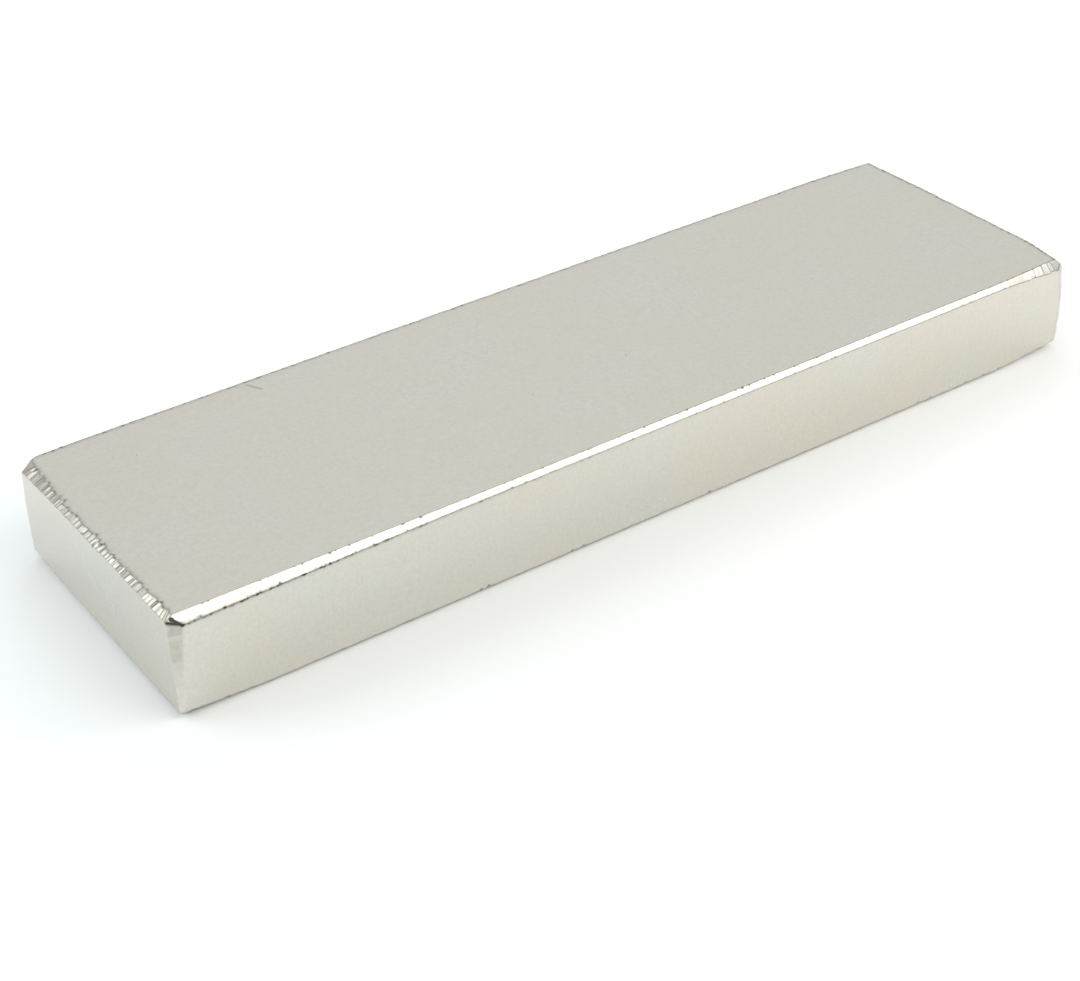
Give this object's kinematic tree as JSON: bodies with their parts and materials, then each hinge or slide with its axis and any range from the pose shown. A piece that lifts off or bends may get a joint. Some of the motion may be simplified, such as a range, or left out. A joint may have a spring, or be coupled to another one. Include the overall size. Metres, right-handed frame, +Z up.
{
  "type": "block magnet",
  "caption": "Rectangular block magnet, solid and nickel plated, with hand-ground bevels on all edges. It lies flat on either wide face.",
  "frame": {"origin": "centre of the bottom face, the wide face that the block lies on", "axes": "+X along the length towards the right end, +Y across the width towards the back, +Z up through the thickness, the way it is magnetised"},
  "size_m": [0.1, 0.03, 0.01],
  "materials": {
    "nickel_plate": "satin bright nickel plating, faintly mottled, with grinding chatter on the bevels"
  },
  "bodies": {
    "root": {"magnet": "nickel_plate"}
  },
  "joints": []
}
